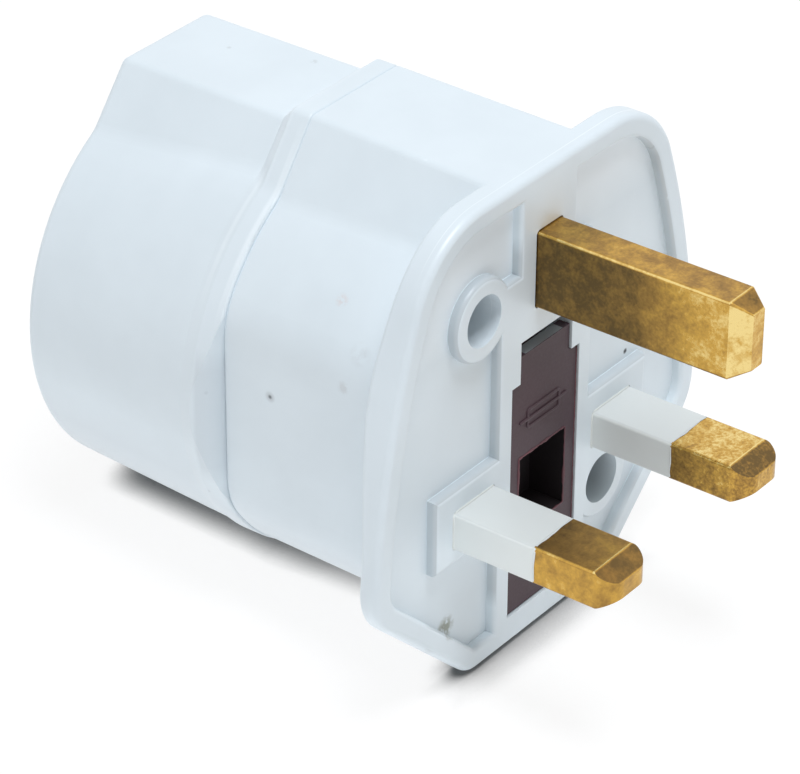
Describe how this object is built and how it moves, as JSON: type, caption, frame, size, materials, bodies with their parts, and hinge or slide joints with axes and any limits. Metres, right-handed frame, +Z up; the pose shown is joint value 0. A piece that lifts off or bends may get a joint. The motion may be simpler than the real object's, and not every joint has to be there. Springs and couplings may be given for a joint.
{
  "type": "travel adapter",
  "caption": "White travel adapter: a fused three-pin plug on a shield-shaped flange, and behind it a crowned round body with a recessed earthed socket.",
  "frame": {"origin": "on the plane of the plug face, midway across, midway between the earth pin's row and the row of the two lower pins", "axes": "+X to the right seen from the pins, +Y from the plug face into the body towards the socket, +Z up towards the earth pin"},
  "size_m": [0.0518, 0.0687, 0.0506],
  "materials": {
    "white_housing": "moulded, satin sheen",
    "pin_brass": "drawn bar, tarnished",
    "sleeve_plastic": "moulded on the pin",
    "drawer_plastic": "moulded, matt",
    "fuse_ceramic": "fired ceramic",
    "fuse_cap_plate": "nickel plated",
    "strip_brass": "stamped strip",
    "screw_steel": "zinc plated"
  },
  "bodies": {
    "adapter": {"front_housing": "white_housing", "rear_housing": "white_housing", "earth_pin": "pin_brass", "live_pin": "pin_brass", "neutral_pin": "pin_brass", "live_sleeve": "sleeve_plastic", "neutral_sleeve": "sleeve_plastic", "live_fuse_clip": "strip_brass", "load_fuse_clip": "strip_brass", "neutral_strap": "strip_brass", "live_socket_contact": "strip_brass", "neutral_socket_contact": "strip_brass", "earth_strap": "strip_brass", "upper_earth_clip": "strip_brass", "lower_earth_clip": "strip_brass", "upper_screw": "screw_steel", "lower_screw": "screw_steel"},
    "fuse_drawer": {"fuse_carrier": "drawer_plastic", "fuse_tube": "fuse_ceramic", "fuse_cap_upper": "fuse_cap_plate", "fuse_cap_lower": "fuse_cap_plate"}
  },
  "joints": [
    {"name": "fuse_drawer_slide", "type": "slide", "parent": "adapter", "child": "fuse_drawer", "axis": [0, -1, 0], "range_m": [0, 0.008]}
  ]
}
